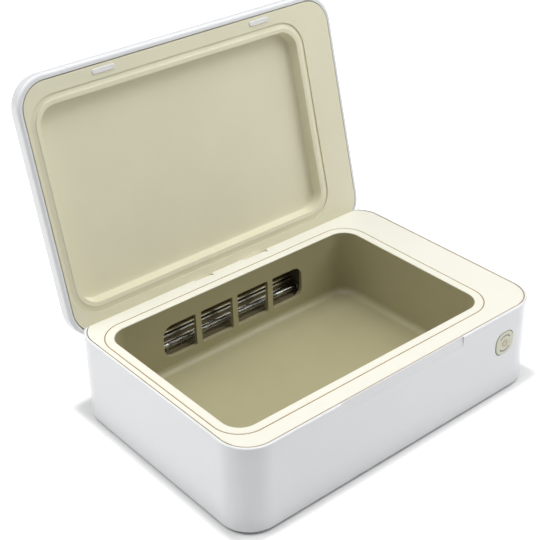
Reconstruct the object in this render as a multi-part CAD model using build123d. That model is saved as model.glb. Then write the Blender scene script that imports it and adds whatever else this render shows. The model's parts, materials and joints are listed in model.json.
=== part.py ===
from build123d import *
from math import cos, radians, sin, tan
import os

# A tabletop sanitizer box for a phone: a shallow tub with ultraviolet lamps behind
# windows in its walls, and a lid that swings up and back about two short hinge pins.
# Frame: X runs along the long side, Y to the hinge at the back, Z up.
# The origin is the centre of the underside, on the plane that the feet stand on.
# The lid is modelled shut and then swung open, because the box stands open at rest.
# All lengths are in millimetres and all angles in degrees.

# Overall size of the lower box
box_length = 200.0
box_depth = 137.0
box_height = 50.0
corner_radius = 17.0

# Outer shell of the lower box
shell_wall = 2.0
shell_bottom_z = 1.2
shell_bottom_round = 1.0
rim_width = 1.4
rim_round = 0.7
seam_gap = 0.5
part_gap = 0.15

# Finger scoop in the front edge of the shell
scoop_length = 82.0
scoop_height = 6.0
scoop_depth = 1.0

# Top frame and well
frame_thickness = 2.2
frame_edge_round = 0.3
joint_margin_left = 4.5
joint_margin_right = 22.0
joint_margin_front = 10.5
joint_margin_back = 12.5
joint_radius = 15.6
joint_groove = 0.8
joint_gap = 0.5
well_lip = 5.2
well_lip_round = 0.4
well_wall = 1.6
well_floor_z = 11.0
well_floor_thickness = 1.6
well_floor_round = 4.0
well_draft = 1.2
well_flange = 2.5
well_flange_thickness = 1.6

# Lamp windows, lamps and reflectors
window_count = 4
window_row_inset = 38.9
window_height = 19.4
window_mullion = 3.5
window_drop = 11.0
window_end_radius = 6.0
window_corner_radius = 0.8
reflector_radius = 10.6
reflector_sheet = 0.6
reflector_overhang = 1.4
reflector_gap = 0.1
holder_thickness = 5.0
lamp_radius = 2.0
lamp_glass = 0.5
lamp_offset = 3.6
lamp_drop = 5.7
lamp_cap_radius = 2.3
lamp_cap_length = 7.0
lamp_cap_gap = 0.05
electrode_radius = 1.2
electrode_length = 4.0
electrode_leads = (5.9, 15.25)
electrode_wire_radius = 0.3

# Hinge
hinge_inset = 6.0
hinge_drop = 3.0
lid_angle = 103.9
hinge_centres = (-20.0, 15.8)
hinge_widths = (12.0, 16.6)
notch_front_inset = 1.3
hinge_side_gap = 0.4
knuckle_radius = 2.1
knuckle_relief = 0.4
pin_radius = 0.9
pin_running_gap = 0.05
pin_seat_gap = 0.02
pin_seat_length = 5.0
hinge_block_wall = 1.1
skirt_wall = 2.0
hinge_arm_front_gap = 0.4
hinge_arm_thickness = 3.0
hinge_foot_thickness = 1.5
hinge_foot_front = 5.0
hinge_foot_back = 1.5
ledge_thickness = 1.8
swing_gap = 0.5

# Lid
lid_gap = 0.9
lid_thickness = 10.6
lid_top_round = 4.5
lid_wall = 1.8
lid_rim_width = 2.4
lid_rim_front = 2.95
lid_frame_thickness = 2.0
lid_recess_depth = 6.5
lid_recess_wall = 1.5
lid_recess_round = 0.8
lid_recess_draft = 6.0
lid_rim_round = 1.6
lid_band_depth = 0.8
lid_band_inner_depth = 0.2
lid_ring_inset = 2.7
lid_ring_height = 0.25
lid_ring_round = 0.4
lid_ring_slope = 0.2

# Stop pads and magnets at the front of the lid
pad_length = 13.4
pad_width = 2.8
pad_proud = 0.6
pad_sunk = 1.2
pad_round = 0.5
pad_gap = 0.05
pad_spacing = 99.4
pad_front_inset = 6.5
magnet_length = 12.0
magnet_width = 2.8
magnet_height = 3.0
magnet_gap = 0.2

# Power button and the switch behind it
button_inset = 26.8
button_drop = 17.95
button_size = 12.9
button_radius = 5.0
button_gap = 0.4
button_proud = 0.4
button_edge_round = 0.35
button_body = 2.0
button_flange_margin = 1.1
button_flange_thickness = 0.9
button_flange_gap = 0.3
button_travel = 0.5
stem_radius = 2.0
stem_gap = 0.3
arc_radius = 4.6
arc_width = 0.6
arc_span = 100.0
arc_depth = 1.2
arc_gap = 0.03
switch_size = 6.0
switch_height = 3.4
switch_tip_radius = 1.7
switch_tip_height = 0.9
switch_board_length = 29.0
switch_board_height = 16.0
switch_board_thickness = 1.6
switch_post_spacing = 23.0
switch_post_radius = 2.0

# Underside
plate_thickness = 2.0
plate_gap = 0.2
foot_radius = 6.0
foot_recess = 0.4
foot_edge_round = 0.3
foot_inset_x = 20.0
foot_inset_y = 19.0
post_radius = 3.5
post_reach = 12.0
post_drop = 14.0

# Screws
screw_radius = 1.2
screw_head_radius = 2.3
screw_head_height = 1.2
screw_length = 8.0
screw_slot_width = 0.7
screw_slot_depth = 0.5
board_screw_length = 4.5
arm_screw_bite = 0.9

# Electronics on the base plate
board_thickness = 1.6
board_clearance = 3.0
board_side_gap = 2.5
board_front_inset = 17.5
board_back_gap = 0.5
board_post_radius = 2.2
board_screw_inset = 4.0
transformer_core = (16.0, 20.0, 13.0)
transformer_winding_radius = 5.4
transformer_winding_length = 14.0
transformer_gap = 1.0
capacitor_radius = 4.0
capacitor_height = 16.0
capacitor_gap = 1.0
capacitor_inset = 13.0
chip_size = 9.0
chip_height = 1.2
connector_size = (7.0, 8.0, 6.0)
connector_gap = 0.5
connector_inset = 7.5

# Charging coil under the well floor
coil_radius = 22.0
coil_hole_radius = 9.0
coil_thickness = 1.0
ferrite_size = 50.0
ferrite_thickness = 0.8
coil_stack_gap = 0.2
coil_post_radius = 3.0
coil_post_spacing = 36.0

# Charging inlet in the back wall
inlet_inset = 22.0
inlet_width = 9.0
inlet_height = 3.3
inlet_depth = 7.5
inlet_sheet = 0.35
inlet_hole_gap = 0.3
inlet_set_back = 0.4
inlet_tongue_width = 6.6
inlet_tongue_height = 0.7
inlet_tongue_depth = 5.5
inlet_board_length = 12.0
inlet_board_width = 12.0

# Lid sensor under the top frame
sensor_size = (4.0, 3.0, 1.6)
sensor_gap = 8.3

# Places worked out from the sizes above
half_length = box_length / 2
half_depth = box_depth / 2
front_inner_y = -half_depth + shell_wall
back_inner_y = half_depth - shell_wall
frame_bottom_z = box_height - frame_thickness
plate_top_z = shell_bottom_z + plate_thickness
joint_length = box_length - joint_margin_left - joint_margin_right
joint_depth = box_depth - joint_margin_front - joint_margin_back
joint_bevel = (joint_groove - joint_gap) / 2
joint_centre_x = (joint_margin_left - joint_margin_right) / 2
joint_centre_y = (joint_margin_front - joint_margin_back) / 2
well_back_y = joint_centre_y + joint_depth / 2 - well_lip
well_front_y = joint_centre_y - joint_depth / 2 + well_lip
well_underside_z = well_floor_z - well_floor_thickness
window_row = joint_length - 2 * window_row_inset
window_width = (window_row - (window_count - 1) * window_mullion) / window_count
window_z = box_height - window_drop - window_height / 2
hinge_y = half_depth - hinge_inset
hinge_z = box_height - hinge_drop
lid_bottom_z = box_height + lid_gap
open_normal_y = sin(radians(lid_angle))
open_normal_z = cos(radians(lid_angle))
notch_front_y = hinge_y - notch_front_inset
notch_floor_z = hinge_z - knuckle_radius - 2 * knuckle_relief - hinge_drop / 2
lid_wall_drop = (hinge_inset - hinge_inset * open_normal_z) / open_normal_y
ledge_z = hinge_z - hinge_inset * open_normal_y + lid_wall_drop * open_normal_z - swing_gap
post_top_z = box_height - post_drop
button_x = half_length - button_inset
button_z = box_height - button_drop
sensor_x = pad_spacing / 2 + magnet_length / 2 + sensor_gap + sensor_size[0] / 2
inlet_x = half_length - inlet_inset
inlet_board_front_y = back_inner_y - inlet_board_length - 1
board_z = plate_top_z + board_clearance
board_top_z = board_z + board_thickness
board_low_x = half_length - joint_margin_right - well_lip + well_wall + board_side_gap
board_high_x = half_length - shell_wall - board_side_gap
board_centre_x = (board_low_x + board_high_x) / 2
board_front_y = front_inner_y + board_front_inset
board_back_y = inlet_board_front_y - board_back_gap
connector_front_y = board_back_y - connector_inset - 2 * connector_size[1] - connector_gap
transformer_y = connector_front_y - transformer_gap - transformer_core[1] / 2
capacitor_back_y = board_front_y + capacitor_inset + 3 * capacitor_radius + capacitor_gap
chip_y = (capacitor_back_y + transformer_y - transformer_core[1] / 2) / 2


def rounded_block(length, depth, radius, low_z, high_z, centre_x=0.0, centre_y=0.0):
    outline = Pos(centre_x, centre_y, low_z) * RectangleRounded(length, depth, radius)
    return extrude(outline, amount=high_z - low_z)


def box_block(inset, low_z, high_z):
    """A block with the outline of the whole box, drawn in by an inset."""
    return rounded_block(box_length - 2 * inset, box_depth - 2 * inset, corner_radius - inset, low_z, high_z)


def joint_block(inset, low_z, high_z):
    """A block with the outline of the joint line round the well, drawn in by an inset."""
    return rounded_block(
        joint_length - 2 * inset,
        joint_depth - 2 * inset,
        joint_radius - inset,
        low_z,
        high_z,
        joint_centre_x,
        joint_centre_y,
    )


def joint_taper(first_inset, first_z, second_inset, second_z):
    """A straight-sided tapered block between two insets of the joint line."""
    faces = []
    for inset, z in ((first_inset, first_z), (second_inset, second_z)):
        outline = RectangleRounded(joint_length - 2 * inset, joint_depth - 2 * inset, joint_radius - inset)
        faces.append(Pos(joint_centre_x, joint_centre_y, z) * outline)
    return loft(faces, ruled=True)


def box_between(low, high):
    size = [high[i] - low[i] for i in range(3)]
    centre = [(high[i] + low[i]) / 2 for i in range(3)]
    return Pos(*centre) * Box(*size)


def rod(axis_rotation, centre, radius, length):
    return Pos(*centre) * axis_rotation * Cylinder(radius, length)


ALONG_X = Rot(0, 90, 0)
ALONG_Y = Rot(90, 0, 0)
ALONG_Z = Rot(0, 0, 0)


def edges_at_z(shape, z):
    return [edge for edge in shape.edges() if abs(edge.center().Z - z) < 0.01 and edge.length > 0.01]


def swing_open(shape):
    return shape.rotate(Axis((0, hinge_y, hinge_z), (-1, 0, 0)), lid_angle)


def pan_head_screw(length):
    """A screw that points down, with the underside of its head at the origin."""
    shank = Pos(0, 0, -length / 2) * Cylinder(screw_radius, length)
    head = Pos(0, 0, screw_head_height / 2) * Cylinder(screw_head_radius, screw_head_height)
    slot_z = screw_head_height - screw_slot_depth / 2
    slot = Pos(0, 0, slot_z) * Box(2 * screw_head_radius, screw_slot_width, screw_slot_depth)
    return shank + head - slot


def hinge_ranges():
    """The low and high X of each hinge notch."""
    return [(centre - width / 2, centre + width / 2) for centre, width in zip(hinge_centres, hinge_widths)]


# The back of the box behind the hinge line

def hinge_core_profile(front_y):
    """Section of the material that stays in front of the swinging lid."""
    top = (hinge_y, box_height)
    middle_angle = radians(90 - lid_angle / 2)
    middle = (hinge_y + hinge_drop * cos(middle_angle), hinge_z + hinge_drop * sin(middle_angle))
    turn = (hinge_y + hinge_drop * open_normal_y, hinge_z + hinge_drop * open_normal_z)
    foot_y = turn[0] + (turn[1] - ledge_z) * open_normal_z / open_normal_y
    curve = ThreePointArc(top, middle, turn)
    rest = Polyline(turn, (foot_y, ledge_z), (front_y, ledge_z), (front_y, box_height), top)
    return make_face([curve] + rest.edges())


def along_x(profile, low_x, high_x):
    """A section drawn in the YZ plane, carried along X."""
    return extrude(Pos(low_x, 0, 0) * (Plane.YZ * profile), amount=high_x - low_x, dir=(1, 0, 0))


def swing_space():
    """The space behind the hinge line that the back edge of the lid sweeps through."""
    reach = half_length + corner_radius
    behind = box_between((-reach, hinge_y, ledge_z), (reach, half_depth + corner_radius, box_height + corner_radius))
    return behind - along_x(hinge_core_profile(hinge_y - hinge_inset), -reach, reach)


def notch_space(low_x, high_x):
    """The notch for one hinge arm, with a round relief for its knuckle."""
    slot = box_between((low_x, notch_front_y, notch_floor_z), (high_x, half_depth + hinge_inset, box_height + 1))
    middle_x = (low_x + high_x) / 2
    relief_radius = knuckle_radius + knuckle_relief
    relief = rod(ALONG_X, (middle_x, hinge_y, hinge_z), relief_radius, high_x - low_x)
    return slot + relief


# Lower box: shell and top frame

def corner_posts():
    reach = post_reach / 2 ** 0.5
    post_x = half_length - corner_radius + reach
    post_y = half_depth - corner_radius + reach
    return [(sx * post_x, sy * post_y) for sx in (-1, 1) for sy in (-1, 1)]


def button_outline(margin):
    outline = RectangleRounded(button_size + 2 * margin, button_size + 2 * margin, button_radius + margin)
    return Pos(button_x, 0, button_z) * (Plane.XZ * outline)


def button_block(margin, low_y, high_y):
    return extrude(Pos(0, low_y, 0) * button_outline(margin), amount=high_y - low_y, dir=(0, 1, 0))


def switch_posts():
    return [(button_x + side * switch_post_spacing / 2, button_z) for side in (-1, 1)]


def switch_board_front_y():
    stem_end_y = front_inner_y + button_flange_gap + button_flange_thickness + stem_gap
    return stem_end_y + button_travel + stem_gap + switch_tip_height + switch_height


def make_base_shell():
    outer = box_block(0, shell_bottom_z, box_height)
    outer = fillet(edges_at_z(outer, box_height), rim_round)
    outer = fillet(edges_at_z(outer, shell_bottom_z), shell_bottom_round)
    shell = outer - box_block(shell_wall, shell_bottom_z - 1, box_height + 1)
    shell -= box_block(rim_width, frame_bottom_z, box_height + 1)
    ledge = box_between(
        (-half_length, hinge_y, ledge_z - ledge_thickness),
        (half_length, half_depth - shell_wall / 2, ledge_z),
    )
    shell += ledge & box_block(shell_wall / 2, shell_bottom_z, box_height)
    shell -= swing_space()
    scoop_points = (
        (-half_depth - scoop_depth, box_height - scoop_height),
        (-half_depth, box_height - scoop_height),
        (-half_depth + scoop_depth, box_height + rim_round),
        (-half_depth - scoop_depth, box_height + rim_round),
    )
    scoop = make_face(Polyline(*scoop_points, close=True).edges())
    shell -= along_x(scoop, -scoop_length / 2, scoop_length / 2)
    for x, y in corner_posts():
        post = Pos(x, y, (plate_top_z + post_top_z) / 2) * Cylinder(post_radius, post_top_z - plate_top_z)
        shell += post - Pos(x, y, plate_top_z) * Cylinder(screw_radius, 2 * screw_length)
    shell -= button_block(button_gap, -half_depth - 1, front_inner_y + 1)
    board_y = switch_board_front_y()
    for x, z in switch_posts():
        length = board_y - front_inner_y
        post = rod(ALONG_Y, (x, front_inner_y + length / 2, z), switch_post_radius, length)
        shell += post - rod(ALONG_Y, (x, board_y, z), screw_radius, 2 * board_screw_length)
    return shell - inlet_block(inlet_hole_gap, half_depth - 2 * shell_wall, half_depth + 1)


def make_top_frame():
    frame = box_block(rim_width + seam_gap, frame_bottom_z, box_height)
    frame = fillet(edges_at_z(frame, box_height), frame_edge_round)
    frame -= joint_block(joint_bevel, frame_bottom_z - 1, box_height + 1)
    frame -= joint_taper(0, box_height, joint_bevel, box_height - joint_bevel)
    frame -= swing_space()
    inside = box_block(shell_wall + part_gap, ledge_z, box_height)
    skirt_front_y = hinge_y + hinge_drop * open_normal_y - hinge_drop - skirt_wall / 2
    frame += along_x(hinge_core_profile(skirt_front_y), -half_length, half_length) & inside
    block_front_y = hinge_y - knuckle_radius - knuckle_relief - hinge_block_wall
    for low_x, high_x in hinge_ranges():
        block = along_x(hinge_core_profile(block_front_y), low_x - pin_seat_length, high_x + pin_seat_length)
        frame += block
    for low_x, high_x in hinge_ranges():
        frame -= notch_space(low_x, high_x)
        frame -= hinge_pin_rod(low_x, high_x, pin_seat_gap)
    return frame


def hinge_pin_rod(low_x, high_x, gap):
    length = high_x - low_x + 2 * pin_seat_length - hinge_block_wall
    return rod(ALONG_X, ((low_x + high_x) / 2, hinge_y, hinge_z), pin_radius + gap, length)


# Well, lamps and reflectors

def window_cutter():
    """All the lamp windows of one wall, as one row with round outer ends."""
    row = Plane.XZ * RectangleRounded(window_row, window_height, window_end_radius)
    pitch = window_width + window_mullion
    cutter = None
    for index in range(window_count):
        x = -window_row / 2 + window_width / 2 + index * pitch
        pane = Plane.XZ * RectangleRounded(window_width, window_height, window_corner_radius)
        solid = extrude(Pos(x, 0, 0) * pane, amount=well_wall * 4, both=True)
        cutter = solid if cutter is None else cutter + solid
    return cutter & extrude(row, amount=well_wall * 4, both=True)


def make_well_liner():
    rim = joint_block(joint_bevel + joint_gap, frame_bottom_z, box_height)
    rim = chamfer(edges_at_z(rim, box_height), joint_bevel)
    flange_top_z = frame_bottom_z
    flange = joint_block(-well_flange, flange_top_z - well_flange_thickness, flange_top_z)
    tub = joint_block(well_lip - well_wall, well_underside_z, box_height - joint_bevel)
    draft_inset = (box_height - well_floor_z) * tan(radians(well_draft))
    cavity = joint_taper(well_lip, box_height, well_lip + draft_inset, well_floor_z)
    cavity = fillet(edges_at_z(cavity, well_floor_z), well_floor_round)
    liner = rim + flange + tub - cavity
    rim_face = liner.faces().sort_by(Axis.Z)[-1]
    liner = fillet(rim_face.inner_wires()[0].edges(), well_lip_round)
    for wall_y in (well_back_y, well_front_y):
        liner -= Pos(joint_centre_x, wall_y, window_z) * window_cutter()
    return liner


def lamp_side(name):
    """Where the outside of one well wall is, and which way is outward from the well."""
    if name == "rear":
        return well_back_y + well_wall, 1
    return well_front_y - well_wall, -1


def half_disc(radius, length, name):
    """A half cylinder along X whose flat side lies against one well wall."""
    wall_y, outward = lamp_side(name)
    flat_y = wall_y + outward * reflector_gap
    whole = rod(ALONG_X, (joint_centre_x, flat_y, window_z), radius, length)
    far_y = flat_y + outward * 2 * reflector_radius
    low = (joint_centre_x - length, min(flat_y, far_y), window_z - 2 * reflector_radius)
    high = (joint_centre_x + length, max(flat_y, far_y), window_z + 2 * reflector_radius)
    return whole & box_between(low, high)


def reflector_length():
    return window_row + 2 * reflector_overhang


def make_reflector(name):
    length = reflector_length()
    return half_disc(reflector_radius, length, name) - half_disc(
        reflector_radius - reflector_sheet, length + 1, name
    )


def lamp_axis(name):
    wall_y, outward = lamp_side(name)
    return wall_y + outward * lamp_offset, window_z - lamp_drop


def lamp_cap_centres():
    offset = reflector_length() / 2 + holder_thickness - lamp_cap_length / 2
    return [joint_centre_x - offset, joint_centre_x + offset]


def make_lamp_holders(name):
    y, z = lamp_axis(name)
    holders = []
    for side in (-1, 1):
        whole = half_disc(reflector_radius, reflector_length() + 2 * holder_thickness, name)
        inner_x = joint_centre_x + side * reflector_length() / 2
        outer_x = inner_x + side * 2 * holder_thickness
        low = (min(inner_x, outer_x), y - 3 * reflector_radius, z - 2 * reflector_radius)
        high = (max(inner_x, outer_x), y + 3 * reflector_radius, z + 2 * reflector_radius)
        bore = rod(ALONG_X, (inner_x, y, z), lamp_cap_radius + lamp_cap_gap, 4 * holder_thickness)
        holders.append((whole & box_between(low, high)) - bore)
    return Compound(children=[holder.solid() for holder in holders])


def make_lamp_caps(name):
    y, z = lamp_axis(name)
    caps = []
    for x, inward in zip(lamp_cap_centres(), (1, -1)):
        cap = rod(ALONG_X, (x, y, z), lamp_cap_radius, lamp_cap_length)
        socket_x = x + inward * lamp_cap_length / 2
        caps.append(cap - rod(ALONG_X, (socket_x, y, z), lamp_radius, lamp_cap_length))
    return Compound(children=[cap.solid() for cap in caps])


def lamp_length():
    return lamp_cap_centres()[1] - lamp_cap_centres()[0]


def make_lamp_tube(name):
    y, z = lamp_axis(name)
    tube = rod(ALONG_X, (joint_centre_x, y, z), lamp_radius, lamp_length())
    return tube - rod(ALONG_X, (joint_centre_x, y, z), lamp_radius - lamp_glass, lamp_length() - 2 * lamp_glass)


def make_lamp_electrodes(name):
    y, z = lamp_axis(name)
    electrodes = []
    for side, lead in zip((-1, 1), electrode_leads):
        end_x = joint_centre_x + side * (lamp_length() / 2 - lamp_glass)
        x = end_x - side * lead
        body = rod(ALONG_X, (x, y, z), electrode_radius, electrode_length)
        wire = rod(ALONG_X, ((x + end_x) / 2, y, z), electrode_wire_radius, abs(end_x - x))
        electrodes.append((body + wire).solid())
    return Compound(children=electrodes)


# Underside

def foot_places():
    x = half_length - foot_inset_x
    y = half_depth - foot_inset_y
    return [(sx * x, sy * y) for sx in (-1, 1) for sy in (-1, 1)]


def board_screw_places():
    ends = (board_front_y + board_screw_inset, board_back_y - board_screw_inset)
    return [(board_centre_x, y) for y in ends]


def coil_stack_z():
    """The top of the posts that hold the coil stack against the well floor."""
    return well_underside_z - coil_stack_gap - coil_thickness - ferrite_thickness


def make_base_plate():
    plate = box_block(shell_wall + plate_gap, shell_bottom_z, plate_top_z)
    for x, y in foot_places():
        plate -= Pos(x, y, shell_bottom_z + foot_recess / 2) * Cylinder(foot_radius + pad_gap, foot_recess)
    head_top_z = shell_bottom_z + screw_head_height
    for x, y in corner_posts():
        plate -= Pos(x, y, shell_bottom_z) * Cylinder(screw_radius + part_gap, 3 * plate_thickness)
        plate -= Pos(x, y, shell_bottom_z) * Cylinder(screw_head_radius + part_gap, 2 * (head_top_z - shell_bottom_z))
    for x, y in board_screw_places():
        post = Pos(x, y, (plate_top_z + board_z) / 2) * Cylinder(board_post_radius, board_clearance)
        plate += post - Pos(x, y, board_z) * Cylinder(screw_radius, 2 * (board_clearance + 1))
    inlet_post_low = (inlet_x - inlet_board_width / 2 + 1, inlet_board_front_y + 1, plate_top_z)
    inlet_post_high = (inlet_x + inlet_board_width / 2 - 1, back_inner_y - 2, board_z)
    plate += box_between(inlet_post_low, inlet_post_high)
    for side_x in (-1, 1):
        for side_y in (-1, 1):
            x = joint_centre_x + side_x * coil_post_spacing / 2
            y = joint_centre_y + side_y * coil_post_spacing / 2
            height = coil_stack_z() - plate_top_z
            plate += Pos(x, y, plate_top_z + height / 2) * Cylinder(coil_post_radius, height)
    return plate


def make_feet():
    feet = []
    for x, y in foot_places():
        height = shell_bottom_z + foot_recess
        foot = Pos(x, y, height / 2) * Cylinder(foot_radius, height)
        feet.append(fillet(edges_at_z(foot, 0), foot_edge_round).solid())
    return Compound(children=feet)


def make_base_screws():
    head_seat_z = shell_bottom_z + screw_head_height
    turned = Rot(180, 0, 0) * pan_head_screw(screw_length)
    return Compound(children=[(Pos(x, y, head_seat_z) * turned).solid() for x, y in corner_posts()])


# Electronics

def make_main_board():
    board = box_between((board_low_x, board_front_y, board_z), (board_high_x, board_back_y, board_top_z))
    for x, y in board_screw_places():
        board -= Pos(x, y, board_z) * Cylinder(screw_radius + part_gap, 4 * board_thickness)
    return board


def make_board_screws():
    screw = pan_head_screw(board_screw_length)
    return Compound(children=[(Pos(x, y, board_top_z) * screw).solid() for x, y in board_screw_places()])


def make_lamp_transformer():
    width, length, height = transformer_core
    middle_z = board_top_z + height / 2
    core = Pos(board_centre_x, transformer_y, middle_z) * Box(width, length, height)
    window_length = transformer_winding_length + part_gap
    core -= Pos(board_centre_x, transformer_y, middle_z) * Box(width + 1, window_length, height - 4 * shell_wall / 2)
    winding = rod(ALONG_Y, (board_centre_x, transformer_y, middle_z), transformer_winding_radius, window_length)
    return core + winding


def make_capacitors():
    parts = []
    pitch = 2 * capacitor_radius + capacitor_gap
    top_z = board_top_z + capacitor_height
    for row in range(2):
        y = board_front_y + capacitor_inset + row * pitch
        for side in (-1, 1):
            can = Cylinder(capacitor_radius, capacitor_height)
            can = Pos(board_centre_x + side * pitch / 2, y, top_z - capacitor_height / 2) * can
            parts.append(fillet(edges_at_z(can, top_z), frame_edge_round).solid())
    return Compound(children=parts)


def make_control_chip():
    return Pos(board_centre_x, chip_y, board_top_z + chip_height / 2) * Box(chip_size, chip_size, chip_height)


def make_connectors():
    width, length, height = connector_size
    parts = []
    for index in range(2):
        y = connector_front_y + length / 2 + index * (length + connector_gap)
        body = Pos(board_centre_x, y, board_top_z + height / 2) * Box(width, length, height)
        body -= Pos(board_centre_x, y, board_top_z + height) * Box(width - shell_wall, length - shell_wall, height)
        parts.append(body.solid())
    return Compound(children=parts)


def make_ferrite_plate():
    z = coil_stack_z()
    return rounded_block(ferrite_size, ferrite_size, coil_post_radius, z, z + ferrite_thickness,
                         joint_centre_x, joint_centre_y)


def make_charging_coil():
    z = coil_stack_z() + ferrite_thickness + coil_thickness / 2
    coil = Pos(joint_centre_x, joint_centre_y, z) * Cylinder(coil_radius, coil_thickness)
    return coil - Pos(joint_centre_x, joint_centre_y, z) * Cylinder(coil_hole_radius, 2 * coil_thickness)


def inlet_block(margin, low_y, high_y):
    height = inlet_height + 2 * margin
    outline = Plane.XZ * RectangleRounded(inlet_width + 2 * margin, height, height / 2 - 0.05)
    z = board_top_z + inlet_height / 2
    return extrude(Pos(inlet_x, low_y, z) * outline, amount=high_y - low_y, dir=(0, 1, 0))


def make_inlet_board():
    low = (inlet_x - inlet_board_width / 2, inlet_board_front_y, board_z)
    high = (inlet_x + inlet_board_width / 2, back_inner_y - 1, board_top_z)
    return box_between(low, high)


def make_charging_inlet():
    face_y = half_depth - inlet_set_back
    rear_y = face_y - inlet_depth
    can = inlet_block(0, rear_y, face_y) - inlet_block(-inlet_sheet, rear_y + 2 * inlet_sheet, face_y + 1)
    z = board_top_z + inlet_height / 2
    tongue_low = (inlet_x - inlet_tongue_width / 2, rear_y + inlet_sheet, z - inlet_tongue_height / 2)
    tongue_high = (inlet_x + inlet_tongue_width / 2, rear_y + inlet_sheet + inlet_tongue_depth, z + inlet_tongue_height / 2)
    return can + box_between(tongue_low, tongue_high)


def make_lid_sensor():
    width, length, height = sensor_size
    y = -half_depth + pad_front_inset
    top_z = frame_bottom_z - magnet_gap
    return Pos(sensor_x, y, top_z - height / 2) * Box(width, length, height)


# Power button

def make_power_button():
    face_y = -half_depth - button_proud
    flange_y = front_inner_y + button_flange_gap
    cap = button_block(0, face_y, face_y + button_proud + button_body)
    face_edges = [edge for edge in cap.edges() if abs(edge.center().Y - face_y) < 0.01]
    cap = fillet(face_edges, button_edge_round)
    neck = button_block(-button_flange_margin, face_y + button_body, flange_y)
    flange = button_block(button_flange_margin, flange_y, flange_y + button_flange_thickness)
    stem_end_y = flange_y + button_flange_thickness + stem_gap
    stem_length = stem_end_y - flange_y
    stem = rod(ALONG_Y, (button_x, flange_y + stem_length / 2, button_z), stem_radius, stem_length)
    button = cap + neck + flange + stem
    for side in (-1, 1):
        button -= light_arc(side, arc_gap)
    return button


def light_arc(side, gap):
    """One curved light strip, let into the face of the button."""
    face_y = -half_depth - button_proud
    outer = Circle(arc_radius + arc_width / 2 + gap)
    inner = Circle(arc_radius - arc_width / 2 - gap)
    half_span = arc_span / 2
    reach = 2 * arc_radius
    corner = reach * tan(radians(half_span))
    wedge = make_face(Polyline((0, 0), (corner, side * reach), (-corner, side * reach), close=True).edges())
    strip = (outer - inner) & wedge
    placed = Pos(button_x, face_y - gap, button_z) * (Plane.XZ * strip)
    return extrude(placed, amount=arc_depth + 2 * gap, dir=(0, 1, 0))


def make_button_lights():
    arcs = [light_arc(side, 0).solid() for side in (-1, 1)]
    return Compound(children=arcs)


def make_switch_board():
    y = switch_board_front_y()
    low = (button_x - switch_board_length / 2, y, button_z - switch_board_height / 2)
    high = (button_x + switch_board_length / 2, y + switch_board_thickness, button_z + switch_board_height / 2)
    board = box_between(low, high)
    for x, z in switch_posts():
        board -= rod(ALONG_Y, (x, y, z), screw_radius + part_gap, 4 * switch_board_thickness)
    return board


def make_push_switch():
    y = switch_board_front_y()
    half = switch_size / 2
    low = (button_x - half, y - switch_height, button_z - half)
    body = box_between(low, (button_x + half, y, button_z + half))
    tip_y = y - switch_height - switch_tip_height / 2
    return body + rod(ALONG_Y, (button_x, tip_y, button_z), switch_tip_radius, switch_tip_height)


def make_switch_screws():
    y = switch_board_front_y() + switch_board_thickness
    screw = Rot(-90, 0, 0) * pan_head_screw(board_screw_length)
    return Compound(children=[(Pos(x, y, z) * screw).solid() for x, z in switch_posts()])


# Lid, built shut

def lid_inner_z():
    return lid_bottom_z + lid_thickness - lid_wall


def lid_panel_block(gap, low_z, high_z):
    """A block with the outline inside the lid's rim, which is wider along the front."""
    inset = lid_rim_width + gap
    extra = lid_rim_front - lid_rim_width
    depth = box_depth - 2 * inset - extra
    return rounded_block(box_length - 2 * inset, depth, corner_radius - inset, low_z, high_z, 0.0, extra / 2)


def make_lid_shell():
    lid = box_block(0, lid_bottom_z, lid_bottom_z + lid_thickness)
    lid = fillet(edges_at_z(lid, lid_bottom_z + lid_thickness), lid_top_round)
    lid = fillet(edges_at_z(lid, lid_bottom_z), lid_rim_round)
    return lid - lid_panel_block(0, lid_bottom_z - 1, lid_inner_z())


def pad_places():
    return [(side * pad_spacing / 2, -half_depth + pad_front_inset) for side in (-1, 1)]


def pad_block(gap, low_z, high_z):
    radius = pad_width / 2 + gap - 0.01
    return [
        rounded_block(pad_length + 2 * gap, pad_width + 2 * gap, radius, low_z, high_z, x, y)
        for x, y in pad_places()
    ]


def make_lid_liner():
    top_z = lid_bottom_z + lid_frame_thickness
    liner = lid_panel_block(seam_gap, lid_bottom_z, top_z)
    pan_top_z = lid_bottom_z + lid_recess_depth + lid_recess_wall
    liner += joint_block(well_lip - lid_recess_wall, lid_bottom_z, pan_top_z)
    floor_z = lid_bottom_z + lid_recess_depth
    ring_z = lid_bottom_z - lid_ring_height
    ring = joint_block(lid_ring_inset, ring_z, lid_bottom_z + lid_band_depth)
    liner += fillet(edges_at_z(ring, ring_z), lid_ring_round)
    band = joint_block(0, ring_z, lid_bottom_z + lid_band_depth)
    band -= joint_block(lid_ring_inset, ring_z, lid_bottom_z + lid_band_depth)
    band -= joint_taper(
        lid_ring_inset, lid_bottom_z + lid_band_inner_depth, 0, lid_bottom_z + lid_band_depth
    )
    draft_inset = (floor_z - ring_z) * tan(radians(lid_recess_draft))
    recess = joint_taper(well_lip, ring_z, well_lip + draft_inset, floor_z)
    recess = fillet(edges_at_z(recess, floor_z), lid_recess_round)
    slope = joint_taper(lid_ring_inset + 2 * lid_ring_round, ring_z, well_lip, ring_z + lid_ring_slope)
    liner = liner - recess - slope - band
    for pocket in pad_block(pad_gap, lid_bottom_z - 1, lid_bottom_z + pad_sunk):
        liner -= pocket
    for low_x, high_x in hinge_ranges():
        low = (low_x + hinge_side_gap - part_gap, arm_front_y() - part_gap, lid_bottom_z - 1)
        high = (high_x - hinge_side_gap + part_gap, arm_front_y() + hinge_arm_thickness + part_gap, top_z + 1)
        liner -= box_between(low, high)
        for x in arm_screw_places(low_x, high_x):
            liner -= Pos(x, arm_screw_y(), top_z) * Cylinder(screw_radius, 2 * arm_screw_bite)
    return liner


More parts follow.
